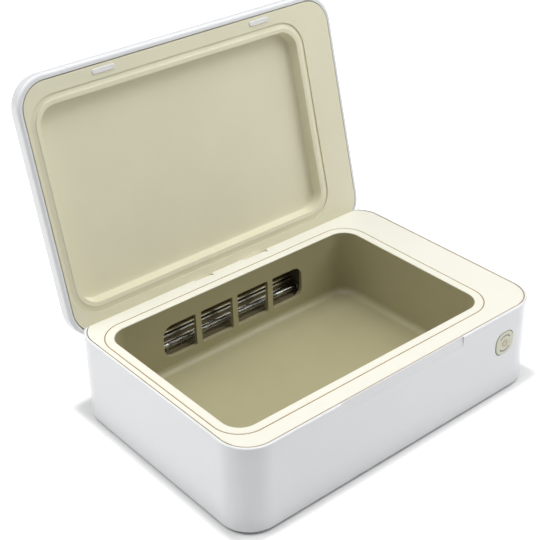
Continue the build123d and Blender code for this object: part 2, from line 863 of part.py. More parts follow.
def make_lid_pads():
    pads = []
    low_z = lid_bottom_z - pad_proud
    for pad in pad_block(0, low_z, lid_bottom_z + pad_sunk):
        pads.append(fillet(edges_at_z(pad, low_z), pad_round).solid())
    return Compound(children=pads)


def magnets(low_z):
    parts = []
    for x, y in pad_places():
        parts.append(
            Pos(x, y, low_z + magnet_height / 2) * Box(magnet_length, magnet_width, magnet_height)
        )
    return Compound(children=[part.solid() for part in parts])


# Hinge arms and pins

def arm_front_y():
    return notch_front_y + hinge_arm_front_gap


def arm_screw_y():
    return arm_front_y() - hinge_foot_front / 2


def arm_screw_places(low_x, high_x):
    return [low_x + hinge_widths[0] / 4, high_x - hinge_widths[0] / 4]


def make_hinge_arm(low_x, high_x):
    low_x += hinge_side_gap
    high_x -= hinge_side_gap
    foot_z = lid_bottom_z + lid_frame_thickness
    back_y = arm_front_y() + hinge_arm_thickness
    knuckle = rod(ALONG_X, ((low_x + high_x) / 2, hinge_y, hinge_z), knuckle_radius, high_x - low_x)
    web = box_between((low_x, arm_front_y(), hinge_z), (high_x, back_y, foot_z))
    foot_low = (low_x, arm_front_y() - hinge_foot_front, foot_z)
    foot = box_between(foot_low, (high_x, back_y + hinge_foot_back, foot_z + hinge_foot_thickness))
    bore = rod(ALONG_X, ((low_x + high_x) / 2, hinge_y, hinge_z), pin_radius + pin_running_gap, 2 * (high_x - low_x))
    arm = knuckle + web + foot - bore
    for x in arm_screw_places(low_x - hinge_side_gap, high_x + hinge_side_gap):
        arm -= Pos(x, arm_screw_y(), foot_z) * Cylinder(screw_radius + part_gap, 4 * hinge_foot_thickness)
    return arm


def make_arm_screws():
    seat_z = lid_bottom_z + lid_frame_thickness + hinge_foot_thickness
    screw = pan_head_screw(hinge_foot_thickness + arm_screw_bite)
    parts = []
    for low_x, high_x in hinge_ranges():
        for x in arm_screw_places(low_x, high_x):
            parts.append((Pos(x, arm_screw_y(), seat_z) * screw).solid())
    return Compound(children=parts)


def build_all():
    parts = {
        "base_shell": make_base_shell(),
        "top_frame": make_top_frame(),
        "well_liner": make_well_liner(),
        "base_plate": make_base_plate(),
        "rubber_feet": make_feet(),
        "base_screws": make_base_screws(),
        "main_board": make_main_board(),
        "board_screws": make_board_screws(),
        "lamp_transformer": make_lamp_transformer(),
        "board_capacitors": make_capacitors(),
        "control_chip": make_control_chip(),
        "board_connectors": make_connectors(),
        "ferrite_plate": make_ferrite_plate(),
        "charging_coil": make_charging_coil(),
        "inlet_board": make_inlet_board(),
        "charging_inlet": make_charging_inlet(),
        "lid_sensor": make_lid_sensor(),
        "base_magnets": magnets(frame_bottom_z - magnet_gap - magnet_height),
        "power_button": make_power_button(),
        "button_lights": make_button_lights(),
        "switch_board": make_switch_board(),
        "push_switch": make_push_switch(),
        "switch_screws": make_switch_screws(),
        "lid_shell": swing_open(make_lid_shell()),
        "lid_liner": swing_open(make_lid_liner()),
        "lid_pads": swing_open(make_lid_pads()),
        "lid_magnets": swing_open(magnets(lid_bottom_z + lid_frame_thickness)),
        "arm_screws": swing_open(make_arm_screws()),
    }
    for name in ("rear", "front"):
        parts[name + "_reflector"] = make_reflector(name)
        parts[name + "_lamp_tube"] = make_lamp_tube(name)
        parts[name + "_lamp_electrodes"] = make_lamp_electrodes(name)
        parts[name + "_lamp_caps"] = make_lamp_caps(name)
        parts[name + "_lamp_holders"] = make_lamp_holders(name)
    for name, (low_x, high_x) in zip(("left", "right"), hinge_ranges()):
        parts[name + "_hinge_pin"] = hinge_pin_rod(low_x, high_x, 0)
        parts[name + "_hinge_arm"] = swing_open(make_hinge_arm(low_x, high_x))
    return parts


os.makedirs("parts", exist_ok=True)
for node, shape in build_all().items():
    export_step(shape, f"parts/{node}.step")
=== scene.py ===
import bpy
import bmesh
import json
from math import cos, radians, sin
from mathutils import Matrix, Vector


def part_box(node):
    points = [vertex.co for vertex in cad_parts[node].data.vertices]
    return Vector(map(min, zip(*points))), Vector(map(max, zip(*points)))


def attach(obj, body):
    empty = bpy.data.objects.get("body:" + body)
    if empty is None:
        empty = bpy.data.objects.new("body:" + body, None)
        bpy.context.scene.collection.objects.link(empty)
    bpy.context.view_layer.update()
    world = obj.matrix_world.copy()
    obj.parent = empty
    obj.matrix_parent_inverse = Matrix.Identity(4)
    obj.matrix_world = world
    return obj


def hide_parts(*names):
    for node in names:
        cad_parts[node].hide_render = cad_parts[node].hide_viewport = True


# The looks of a tabletop ultraviolet sanitizer box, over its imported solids.
# Everything is in metres, in the frame of the solids.

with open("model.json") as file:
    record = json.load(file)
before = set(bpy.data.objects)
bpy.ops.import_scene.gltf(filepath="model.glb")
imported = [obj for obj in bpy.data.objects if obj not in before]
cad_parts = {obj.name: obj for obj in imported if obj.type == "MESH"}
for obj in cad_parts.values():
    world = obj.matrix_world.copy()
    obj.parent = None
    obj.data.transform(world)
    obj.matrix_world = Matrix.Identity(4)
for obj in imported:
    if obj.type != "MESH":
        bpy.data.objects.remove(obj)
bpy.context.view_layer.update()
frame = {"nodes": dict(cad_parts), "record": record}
nodes = frame["nodes"]

MM = 0.001

# Sizes of the pieces that are added to the solids, which repeat sizes of the part's source where they meet it

# Lines along each reflector
REFLECTOR_SHEET = 0.6 * MM
RIDGE = 0.3 * MM
RIDGE_SUNK = 0.3 * RIDGE
# kind, finish, how many, lowest angle, sweep and width, with the angles in degrees from the arc's bottom up
# by its back
REFLECTOR_LINES = [
    ("ridges", "ridge_bronze", 12, 6.0, 53.0, 0.55 * MM),
    # The bright and dark fold lines are painted reflection: near-white and near-black strips for the
    # reflector's bright and dark lines
    ("painted_bright_reflection", "painted_reflection_bright", 2, 65.0, 11.5, 0.75 * MM),
    ("painted_dark_reflection", "painted_reflection_dark", 2, 69.0, 3.6, 0.6 * MM),
    ("brown_ridges", "ridge_brown", 12, 86.0, 80.0, 0.8 * MM),
]

# Coiled wire on the lamps' electrodes. The leads reach from each end of the glass to the middle of its coil.
GLASS_WALL = 0.5 * MM
FILAMENT_LEADS = (5.9 * MM, 15.25 * MM)
FILAMENT_LENGTH = 3.6 * MM
FILAMENT_RADIUS = 1.27 * MM
FILAMENT_WIRE = 0.14 * MM
FILAMENT_TURNS = 7.0
FILAMENT_STEPS = 20
WIRE_SIDES = 8

# Charging coil
COIL_HOLE = 9.0 * MM
COIL_STEPS = 40
COIL_WIRE_SHARE = 0.96

# Control chip's legs
LEGS_ON_A_SIDE = 9
LEG_PITCH = 0.8 * MM
LEG_REACH = 0.9 * MM
LEG_WIDTH = 0.4 * LEG_PITCH
LEG_THICKNESS = 0.25 * LEG_PITCH

# Charging inlet's contacts
CONTACTS_ON_A_SIDE = 10
CONTACT_PITCH = 0.6 * MM
CONTACT_WIDTH = 0.55 * CONTACT_PITCH
CONTACT_LENGTH = 3.6 * MM
CONTACT_THICKNESS = 0.06 * MM
CONTACT_SET_BACK = 3.9 * MM
TONGUE_HALF = 0.35 * MM

# Brown strips in the joint round the well and in the shell's seam, put there as painted shade. The margins are
# the joint's distances from the shell's left, right, front and back, and the seam's strip ends beside the
# hinge.
JOINT_MARGINS = (4.5 * MM, 22.0 * MM, 10.5 * MM, 12.5 * MM)
JOINT_ROUND = 15.6 * MM
JOINT_BEVEL = 0.15 * MM
SEAM = 0.5 * MM
RIM = 1.4 * MM
SHELL_ROUND = 17.0 * MM
SEAM_END = 45.0 * MM
SHADE_STRIP_SUNK = 0.14 * MM
SHADE_STRIP_DEPTH = 0.5 * MM
CORNER_STEPS = 16

# Button's dark ring of painted shade in its gap, dish and mark
BUTTON_HALF = 6.45 * MM
BUTTON_ROUND = 5.0 * MM
GAP_SHADE_WIDTH = 0.42 * MM
GAP_SHADE_PLAY = 0.04 * MM
GAP_SHADE_SUNK = 0.12 * MM
GAP_SHADE_BACK = 1.2 * MM
DISH_RADIUS = 3.6 * MM
DISH_DEPTH = 0.12 * MM
DISH_CUTTER_TOP = 5 * DISH_DEPTH
DISH_STEPS = 64
MARK_RADIUS = 1.9 * MM
MARK_LINE = 0.42 * MM
MARK_TOP = DISH_DEPTH / 3
MARK_OPENING = (125, 415)
MARK_STEPS = 40
MARK_BAR = (0.1 * MARK_RADIUS, 1.25 * MARK_RADIUS)

# Points of one solid that lie closer than this are one point
SAME_POINT = 1e-6

# Heights between which the frame's seam walls, painted brown as shade, turn to its face, and how far back the
# painted brown reaches
SEAM_SHADE_BELOW = 49.75 * MM
FACE_ABOVE = 49.93 * MM
HINGE_Y = 57.6 * MM
HINGE_BLEND = 1.0 * MM
# Heights between which the well's plastic turns from a darker, yellower colour, which is painted shade, to the
# cream of its lip
SHADE_PAINTED_BELOW = 49.3 * MM
UNSHADED_ABOVE = 49.9 * MM

# Camera, as the photograph was taken
CAMERA_AZIMUTH = -39.599
CAMERA_ELEVATION = 31.004
CAMERA_ROLL = -1.212
CAMERA_DISTANCE = 561.07 * MM
CAMERA_TARGET = Vector((-43.76, -22.02, 101.93)) * MM
CAMERA_FOCAL = 1224.87
IMAGE_SIDE = 540
SENSOR = 36.0
CLIP_NEAR = 0.01
CLIP_FAR = 20.0

# Studio lamps: name, azimuth and elevation in degrees, distance and size in metres, and power in watts
LAMPS = [
    ("overhead", 0.0, 89.0, 1.0, 0.9, 5.8),
    ("right", 60.0, 45.0, 1.0, 0.8, 5.5),
    ("left_back", -130.0, 45.0, 1.1, 0.8, 5.2),
    ("left_low", -100.0, 12.0, 1.0, 0.6, 0.5),
]
LAMP_AIM = Vector((0.0, 0.0, 0.04))
ROOM_LIGHT = 0.1
FLOOR_HALF = 3.0
FLOOR_SQUARES = 8
FLOOR_GREYS = (0.86, 0.88)
FLOOR_CLOUD_SCALE = 3.0
FLOOR_ROUGHNESS = 0.6
FLOOR_SPECULAR = 0.2
# The floor's glow beside the box and further off, the distances from the box between which it grows, and
# how far the two directions round into each other at the box's corners
GLOW_NEAR = 0.0
GLOW_FAR = 0.9
GLOW_START = 0.0 * MM
GLOW_END = 10.0 * MM
GLOW_ROUND = 8.0 * MM


# Small tools for node trees

# Most noise values lie between these two
NOISE_LOW = 0.3
NOISE_HIGH = 0.7
CLOUD_SCALE = 35.0
SHEEN_SCALE = 160.0
# How far a plastic's sheen varies, as a share of its roughness
SHEEN_SPREAD = 0.12
WELL_SHEEN_SPREAD = 0.15
COAT_ROUGHNESS = 0.12
QUARTZ_IOR = 1.46


def new_material(name):
    material = bpy.data.materials.new(name)
    material.use_nodes = True
    tree = material.node_tree
    return material, tree, tree.nodes["Principled BSDF"]


def add(tree, kind, **values):
    """Adds a node, with its settings and its input values by name."""
    node = tree.nodes.new(kind)
    for key, value in values.items():
        if key in node.inputs:
            node.inputs[key].default_value = value
        else:
            setattr(node, key, value)
    return node


def object_coordinates(tree, stretch=(1.0, 1.0, 1.0)):
    coordinates = add(tree, "ShaderNodeTexCoord")
    mapping = add(tree, "ShaderNodeMapping")
    mapping.inputs["Scale"].default_value = stretch
    tree.links.new(coordinates.outputs["Object"], mapping.inputs["Vector"])
    return mapping.outputs["Vector"]


def noise(tree, vector, scale, detail=2.0, roughness=0.5):
    texture = add(tree, "ShaderNodeTexNoise", Scale=scale, Detail=detail, Roughness=roughness)
    tree.links.new(vector, texture.inputs["Vector"])
    return texture.outputs["Fac"]


def ramp(tree, value, stops):
    """A colour ramp from (place, colour) pairs."""
    node = add(tree, "ShaderNodeValToRGB")
    elements = node.color_ramp.elements
    while len(elements) < len(stops):
        elements.new(0.5)
    for element, (place, colour) in zip(elements, stops):
        element.position = place
        element.color = (*colour, 1.0)
    tree.links.new(value, node.inputs["Fac"])
    return node.outputs["Color"]


def spread(tree, value, low, high):
    """Carries the usual range of a noise value over to the range from low to high."""
    node = add(tree, "ShaderNodeMapRange")
    node.inputs["From Min"].default_value = NOISE_LOW
    node.inputs["From Max"].default_value = NOISE_HIGH
    node.inputs["To Min"].default_value = low
    node.inputs["To Max"].default_value = high
    tree.links.new(value, node.inputs["Value"])
    return node.outputs["Result"]


def bump(tree, shader, height, distance):
    node = add(tree, "ShaderNodeBump", Strength=1.0, Distance=distance)
    tree.links.new(height, node.inputs["Height"])
    tree.links.new(node.outputs["Normal"], shader.inputs["Normal"])


def coordinate(tree, vector, axis):
    parts = add(tree, "ShaderNodeSeparateXYZ")
    tree.links.new(vector, parts.inputs[0])
    return parts.outputs[axis]


def from_to(tree, value, low, high):
    """Carries the range from low to high over to 0 to 1, and holds the ends."""
    node = add(tree, "ShaderNodeMapRange")
    node.inputs["From Min"].default_value = low
    node.inputs["From Max"].default_value = high
    tree.links.new(value, node.inputs["Value"])
    return node.outputs["Result"]


def blend_colours(tree, share, first, second):
    node = add(tree, "ShaderNodeMix", data_type="RGBA")
    tree.links.new(share, node.inputs["Factor"])
    tree.links.new(first, node.inputs["A"])
    tree.links.new(second, node.inputs["B"])
    return node.outputs["Result"]


def tint(colour, factor):
    return tuple(min(1.0, part * factor) for part in colour)


def cloudy(tree, place, colour, mottle):
    """A colour that clouds a little, as moulded plastic does."""
    cloud = noise(tree, place, CLOUD_SCALE, 3.0)
    return ramp(tree, cloud, [(NOISE_LOW, tint(colour, 1 - mottle)), (NOISE_HIGH, tint(colour, 1 + mottle))])


def sheen_and_grain(tree, shader, place, roughness, unevenness, grain, grain_depth):
    """A plastic's sheen, which varies by a share of its roughness, and its fine moulded grain."""
    sheen = noise(tree, place, SHEEN_SCALE, 4.0)
    sheens = spread(tree, sheen, roughness * (1 - unevenness), roughness * (1 + unevenness))
    tree.links.new(sheens, shader.inputs["Roughness"])
    bump(tree, shader, noise(tree, place, grain, 2.0), grain_depth)


# Finishes

def moulded_plastic(name, colour, roughness, grain, grain_depth, coat=0.0, mottle=0.02):
    """Moulded plastic: a fine even grain, faint cloudiness and a sheen that varies a little."""
    material, tree, shader = new_material(name)
    place = object_coordinates(tree)
    tree.links.new(cloudy(tree, place, colour, mottle), shader.inputs["Base Color"])
    sheen_and_grain(tree, shader, place, roughness, SHEEN_SPREAD, grain, grain_depth)
    shader.inputs["Coat Weight"].default_value = coat
    shader.inputs["Coat Roughness"].default_value = COAT_ROUGHNESS
    return material


def well_shade_painted_plastic(name, lip_colour, shade_painted_colour, roughness, grain, grain_depth):
    """Moulded plastic with shade painted in: darker and yellower inside the well than at its lip."""
    material, tree, shader = new_material(name)
    place = object_coordinates(tree)
    height = from_to(tree, coordinate(tree, place, "Z"), SHADE_PAINTED_BELOW, UNSHADED_ABOVE)
    colours = blend_colours(tree, height, cloudy(tree, place, shade_painted_colour, 0.03), cloudy(tree, place, lip_colour, 0.01))
    tree.links.new(colours, shader.inputs["Base Color"])
    sheen_and_grain(tree, shader, place, roughness, WELL_SHEEN_SPREAD, grain, grain_depth)
    return material


def painted_seam_shade_plastic(name, colour, seam, roughness, grain, grain_depth):
    """Moulded plastic whose seam walls, under its top face, are painted brown as shade, but not where the
    hinge shows.
    """
    material, tree, shader = new_material(name)
    place = object_coordinates(tree)
    height = from_to(tree, coordinate(tree, place, "Z"), SEAM_SHADE_BELOW, FACE_ABOVE)
    behind = from_to(tree, coordinate(tree, place, "Y"), HINGE_Y, HINGE_Y + HINGE_BLEND)
    unshaded = add(tree, "ShaderNodeMath", operation="MAXIMUM")
    tree.links.new(height, unshaded.inputs[0])
    tree.links.new(behind, unshaded.inputs[1])
    brown = cloudy(tree, place, seam, 0.1)
    face = cloudy(tree, place, colour, 0.01)
    colours = blend_colours(tree, unshaded.outputs[0], brown, face)
    tree.links.new(colours, shader.inputs["Base Color"])
    sheen_and_grain(tree, shader, place, roughness, SHEEN_SPREAD, grain, grain_depth)
    return material


def brushed_metal(name, colour, roughness, stretch, scale=900.0, depth=4e-6):
    """Metal with fine drawn lines along one direction."""
    material, tree, shader = new_material(name)
    place = object_coordinates(tree, stretch=stretch)
    lines = noise(tree, place, scale, 3.0, 0.6)
    colours = ramp(tree, lines, [(NOISE_LOW, tint(colour, 0.85)), (NOISE_HIGH, tint(colour, 1.1))])
    tree.links.new(colours, shader.inputs["Base Color"])
    tree.links.new(spread(tree, lines, roughness * 0.7, roughness * 1.3), shader.inputs["Roughness"])
    bump(tree, shader, lines, depth)
    shader.inputs["Metallic"].default_value = 1.0
    return material


def glass_material(name):
    material, tree, shader = new_material(name)
    place = object_coordinates(tree, stretch=(0.2, 1.0, 1.0))
    haze = noise(tree, place, 220.0, 3.0)
    tree.links.new(spread(tree, haze, 0.02, 0.07), shader.inputs["Roughness"])
    colours = ramp(tree, haze, [(NOISE_LOW, (0.93, 0.95, 0.95)), (NOISE_HIGH, (0.99, 0.99, 0.98))])
    tree.links.new(colours, shader.inputs["Base Color"])
    shader.inputs["Transmission Weight"].default_value = 1.0
    shader.inputs["IOR"].default_value = QUARTZ_IOR
    return material


# Plastics: name, colour, roughness, grain per metre and grain depth.
# Metals: name, colour, roughness and how the drawn lines are scaled along each axis.
FINISHES = {
    "white_shell": moulded_plastic(
        "white_shell", (0.83, 0.84, 0.855), 0.34, 2600.0, 6e-6, coat=0.3, mottle=0.008
    ),
    "cream_plastic": moulded_plastic(
        "cream_plastic", (0.86, 0.845, 0.75), 0.42, 3200.0, 9e-6, mottle=0.01
    ),
    "grey_plate": moulded_plastic("grey_plate", (0.62, 0.63, 0.64), 0.55, 1600.0, 2e-5),
    "rubber": moulded_plastic("rubber", (0.035, 0.035, 0.037), 0.8, 1400.0, 3e-5),
    "white_pad": moulded_plastic("white_pad", (0.85, 0.85, 0.84), 0.4, 2400.0, 6e-6),
    "screw_steel": brushed_metal("screw_steel", (0.58, 0.58, 0.57), 0.35, (1.0, 1.0, 0.2)),
    "hinge_steel": brushed_metal("hinge_steel", (0.62, 0.62, 0.62), 0.25, (0.1, 1.0, 1.0)),
    "circuit_board": moulded_plastic(
        "circuit_board", (0.02, 0.16, 0.06), 0.35, 900.0, 1e-5, mottle=0.15
    ),
    "transformer": moulded_plastic("transformer", (0.6, 0.45, 0.08), 0.4, 900.0, 2e-5, mottle=0.1),
    "capacitor_can": moulded_plastic("capacitor_can", (0.03, 0.04, 0.12), 0.3, 900.0, 1e-5),
    "black_chip": moulded_plastic("black_chip", (0.02, 0.02, 0.022), 0.6, 1800.0, 2e-5),
    "connector_white": moulded_plastic("connector_white", (0.78, 0.75, 0.65), 0.5, 1800.0, 1e-5),
    "ferrite": moulded_plastic("ferrite", (0.05, 0.05, 0.05), 0.7, 1200.0, 3e-5),
    "copper_coil": brushed_metal("copper_coil", (0.72, 0.33, 0.16), 0.3, (1.0, 1.0, 1.0)),
    "inlet_steel": brushed_metal("inlet_steel", (0.6, 0.6, 0.6), 0.3, (0.2, 1.0, 1.0)),
    "magnet": brushed_metal("magnet", (0.55, 0.55, 0.56), 0.3, (0.3, 1.0, 1.0)),
    "reflector_sheet": brushed_metal(
        "reflector_sheet", (0.36, 0.31, 0.17), 0.6, (0.004, 1.0, 1.0), 900.0, 3e-6
    ),
    "ridge_bronze": moulded_plastic(
        "ridge_bronze", (0.17, 0.14, 0.075), 0.65, 1500.0, 5e-6, mottle=0.1
    ),
    "ridge_brown": moulded_plastic("ridge_brown", (0.075, 0.052, 0.022), 0.5, 1500.0, 5e-6, mottle=0.1),
    # Painted reflection: a near-white strip for the reflector's bright lines and a near-black one for its dark
    # lines
    "painted_reflection_bright": brushed_metal("painted_reflection_bright", (0.98, 0.95, 0.84), 0.3, (0.05, 1.0, 1.0)),
    "painted_reflection_dark": moulded_plastic("painted_reflection_dark", (0.02, 0.016, 0.01), 0.5, 1500.0, 5e-6, mottle=0.1),
    "lamp_glass": glass_material("lamp_glass"),
    "lamp_metal": brushed_metal("lamp_metal", (0.8, 0.8, 0.79), 0.2, (0.3, 1.0, 1.0)),
    "holder_dark": moulded_plastic("holder_dark", (0.13, 0.115, 0.09), 0.5, 1500.0, 1e-5),
    "button_cream": moulded_plastic("button_cream", (0.72, 0.71, 0.56), 0.4, 2800.0, 7e-6, mottle=0.01),
    # Brown for the strips in the joint and seam, which are painted shade
    "seam_shade_brown": moulded_plastic("seam_shade_brown", (0.30, 0.185, 0.05), 0.6, 1800.0, 8e-6, mottle=0.08),
    "gilt": brushed_metal("gilt", (0.83, 0.6, 0.22), 0.25, (1.0, 0.2, 1.0)),
    "mark_brown": moulded_plastic("mark_brown", (0.42, 0.27, 0.20), 0.5, 1500.0, 5e-6),
    "light_grey": moulded_plastic("light_grey", (0.09, 0.09, 0.09), 0.35, 1500.0, 5e-6),
}


# Roughness, grain and grain depth of all the cream pieces
CREAM_SURFACE = (0.42, 3200.0, 9e-6)
# Cream pieces that differ from the plain cream: the frame, with its seam walls painted brown as shade; the
# well, painted darker as shade; and the lid, yellower, so that frame and lid are lit and shaded copies of one
# cream
CREAM_VARIANTS = {
    # The frame's seam walls are painted brown as shade
    "top_frame": painted_seam_shade_plastic(
        "frame_plastic", (0.86, 0.845, 0.75), (0.22, 0.15, 0.05), *CREAM_SURFACE
    ),
    # The well's darker colour is painted shade
    "well_liner": well_shade_painted_plastic(
        "well_plastic", (0.86, 0.845, 0.74), (0.40, 0.37, 0.222), *CREAM_SURFACE
    ),
    # The lid's yellower cream is a painted shaded copy of the frame's cream
    "lid_liner": moulded_plastic("lid_plastic", (0.82, 0.79, 0.60), *CREAM_SURFACE, mottle=0.015),
}


def dress_nodes():
    """Each solid takes its cream variant, or the finish that the record names for it."""
    for entry in frame["record"]["subparts"]:
        mesh = nodes[entry["node"]].data
        mesh.materials.clear()
        mesh.materials.append(CREAM_VARIANTS.get(entry["node"], FINISHES[entry["material_slot"]]))


# Geometry node trees

def new_tree(name, sizes):
    """A geometry tree with named inputs for its sizes and its finish, and its sockets by name."""
    tree = bpy.data.node_groups.new(name, "GeometryNodeTree")
    for size, kind in sizes:
        tree.interface.new_socket(name=size, in_out="INPUT", socket_type=kind)
    tree.interface.new_socket(name="Finish", in_out="INPUT", socket_type="NodeSocketMaterial")
    tree.interface.new_socket(name="Geometry", in_out="OUTPUT", socket_type="NodeSocketGeometry")
    return tree, tree.nodes.new("NodeGroupInput").outputs, tree.nodes.new("NodeGroupOutput").inputs


def end_tree(tree, shape, given, result):
    real = add(tree, "GeometryNodeRealizeInstances")
    dressed = add(tree, "GeometryNodeSetMaterial")
    tree.links.new(shape, real.inputs["Geometry"])
    tree.links.new(real.outputs["Geometry"], dressed.inputs["Geometry"])
    tree.links.new(given["Finish"], dressed.inputs["Material"])
    tree.links.new(dressed.outputs["Geometry"], result["Geometry"])


def wound_wire_tree():
    """A round wire wound from one radius to another while it climbs."""
    tree, given, result = new_tree("wound_wire", [
        ("Turns", "NodeSocketFloat"),
        ("Steps", "NodeSocketInt"),
        ("Start Radius", "NodeSocketFloat"),
        ("End Radius", "NodeSocketFloat"),
        ("Climb", "NodeSocketFloat"),
        ("Wire Radius", "NodeSocketFloat"),
    ])
    path = add(tree, "GeometryNodeCurveSpiral")
    tree.links.new(given["Steps"], path.inputs["Resolution"])
    tree.links.new(given["Turns"], path.inputs["Rotations"])
    tree.links.new(given["Start Radius"], path.inputs["Start Radius"])
    tree.links.new(given["End Radius"], path.inputs["End Radius"])
    tree.links.new(given["Climb"], path.inputs["Height"])
    round_wire = add(tree, "GeometryNodeCurvePrimitiveCircle", Resolution=WIRE_SIDES)
    tree.links.new(given["Wire Radius"], round_wire.inputs["Radius"])
    wire = add(tree, "GeometryNodeCurveToMesh")
    wire.inputs["Fill Caps"].default_value = True
    tree.links.new(path.outputs["Curve"], wire.inputs["Curve"])
    tree.links.new(round_wire.outputs["Curve"], wire.inputs["Profile Curve"])
    end_tree(tree, wire.outputs["Mesh"], given, result)
    return tree


def arc_of_bars_tree():
    """Equal straight bars along Z, side by side on an arc about Z, each turned to face the middle."""
    tree, given, result = new_tree("arc_of_bars", [
        ("Bars", "NodeSocketInt"),
        ("Arc Radius", "NodeSocketFloat"),
        ("Start Angle", "NodeSocketFloat"),
        ("Sweep Angle", "NodeSocketFloat"),
        ("Bar", "NodeSocketVector"),
    ])
    arc = add(tree, "GeometryNodeCurveArc")
    tree.links.new(given["Bars"], arc.inputs["Resolution"])
    tree.links.new(given["Arc Radius"], arc.inputs["Radius"])
    tree.links.new(given["Start Angle"], arc.inputs["Start Angle"])
    tree.links.new(given["Sweep Angle"], arc.inputs["Sweep Angle"])
    places = add(tree, "GeometryNodeCurveToPoints", mode="EVALUATED")
    tree.links.new(arc.outputs["Curve"], places.inputs["Curve"])
    bar = add(tree, "GeometryNodeMeshCube")
    tree.links.new(given["Bar"], bar.inputs["Size"])
    bars = add(tree, "GeometryNodeInstanceOnPoints")
    tree.links.new(places.outputs["Points"], bars.inputs["Points"])
    tree.links.new(bar.outputs["Mesh"], bars.inputs["Instance"])
    turned = add(tree, "GeometryNodeRotateInstances")
    spot = add(tree, "GeometryNodeInputPosition")
    parts = add(tree, "ShaderNodeSeparateXYZ")
    angle = add(tree, "ShaderNodeMath", operation="ARCTAN2")
    turn = add(tree, "ShaderNodeCombineXYZ")
    tree.links.new(spot.outputs[0], parts.inputs[0])
    tree.links.new(parts.outputs["Y"], angle.inputs[0])
    tree.links.new(parts.outputs["X"], angle.inputs[1])
    tree.links.new(angle.outputs[0], turn.inputs["Z"])
    tree.links.new(bars.outputs["Instances"], turned.inputs["Instances"])
    tree.links.new(turn.outputs[0], turned.inputs["Rotation"])
    end_tree(tree, turned.outputs["Instances"], given, result)
    return tree


def row_of_bars_tree():
    """Equal bars in a straight row, from the first one's middle on."""
    tree, given, result = new_tree("row_of_bars", [
        ("Bars", "NodeSocketInt"),
        ("First", "NodeSocketVector"),
        ("Step", "NodeSocketVector"),
        ("Bar", "NodeSocketVector"),
    ])
    line = add(tree, "GeometryNodeMeshLine")
    tree.links.new(given["Bars"], line.inputs["Count"])
    tree.links.new(given["First"], line.inputs["Start Location"])
    tree.links.new(given["Step"], line.inputs["Offset"])
    bar = add(tree, "GeometryNodeMeshCube")
    tree.links.new(given["Bar"], bar.inputs["Size"])
    bars = add(tree, "GeometryNodeInstanceOnPoints")
    tree.links.new(line.outputs["Mesh"], bars.inputs["Points"])
    tree.links.new(bar.outputs["Mesh"], bars.inputs["Instance"])
    end_tree(tree, bars.outputs["Instances"], given, result)
    return tree


def grown(name, tree, finish, place, **sizes):
    """Runs a tree with its sizes and returns its plain mesh, set at its place."""
    holder = bpy.data.objects.new(name, bpy.data.meshes.new(name))
    bpy.context.scene.collection.objects.link(holder)
    modifier = holder.modifiers.new("grow", "NODES")
    modifier.node_group = tree
    inputs = [item for item in tree.interface.items_tree if item.in_out == "INPUT"]
    sockets = {item.name: item.identifier for item in inputs}
    modifier[sockets["Finish"]] = finish
    for key, value in sizes.items():
        modifier[sockets[key.replace("_", " ")]] = value
    evaluated = holder.evaluated_get(bpy.context.evaluated_depsgraph_get())
    mesh = bpy.data.meshes.new_from_object(evaluated)
    bpy.data.objects.remove(holder)
    mesh.transform(place)
    return mesh


def joined_piece(name, meshes, finish, body):
    """One object from one or more meshes, riding on a body."""
    shape = bmesh.new()
    for mesh in meshes:
        shape.from_mesh(mesh)
    mesh = bpy.data.meshes.new(name)
    shape.to_mesh(mesh)
    shape.free()
    mesh.materials.clear()
    mesh.materials.append(finish)
    piece = bpy.data.objects.new(name, mesh)
    bpy.context.scene.collection.objects.link(piece)
    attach(piece, body)
    return piece


def corners(node):
    low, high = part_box(node)
    return Vector(low), Vector(high)


# Pieces that the solids leave plain

LENGTHWISE = Matrix.Rotation(radians(90), 4, "Y")
FRONTWARD = Matrix.Rotation(radians(90), 4, "X")


def add_reflector_lines(side, tree, kind, finish, count, low_angle, sweep, bar_width):
    """Straight lines along the inside of one lamp's reflector, from its ridges and folds."""
    low, high = corners(side + "_reflector")
    flat_y = low.y if side == "rear" else high.y
    inner_radius = (high.z - low.z) / 2 - REFLECTOR_SHEET
    length = high.x - low.x - 2 * RIDGE
    centre = Vector(((low.x + high.x) / 2, flat_y, (low.z + high.z) / 2))
    place = Matrix.Translation(centre) @ LENGTHWISE
    mesh = grown(
        side + kind, tree, FINISHES[finish], place,
        Bars=count, Arc_Radius=inner_radius - RIDGE_SUNK,
        Start_Angle=radians(low_angle), Sweep_Angle=radians(sweep), Bar=(RIDGE, bar_width, length),
    )
    if side == "front":
        mesh.transform(Matrix.Translation((0, 2 * flat_y, 0)) @ Matrix.Scale(-1, 4, (0, 1, 0)))
        mesh.flip_normals()
    joined_piece(side + "_reflector_" + kind, [mesh], FINISHES[finish], "base")


def add_filaments(side, tree):
    """The coiled wire round each electrode of one lamp."""
    low, high = corners(side + "_lamp_electrodes")
    tube_low, tube_high = corners(side + "_lamp_tube")
    left_x = tube_low.x + GLASS_WALL + FILAMENT_LEADS[0]
    right_x = tube_high.x - GLASS_WALL - FILAMENT_LEADS[1]
    coils = []
    for x in (left_x, right_x):
        start = Vector((x - FILAMENT_LENGTH / 2, (low.y + high.y) / 2, (low.z + high.z) / 2))
        place = Matrix.Translation(start) @ LENGTHWISE
        coils.append(grown(
            side + "_filament", tree, FINISHES["lamp_metal"], place,
            Turns=FILAMENT_TURNS, Steps=FILAMENT_STEPS,
            Start_Radius=FILAMENT_RADIUS, End_Radius=FILAMENT_RADIUS, Climb=FILAMENT_LENGTH,
            Wire_Radius=FILAMENT_WIRE,
        ))
    joined_piece(side + "_lamp_filaments", coils, FINISHES["lamp_metal"], "base")


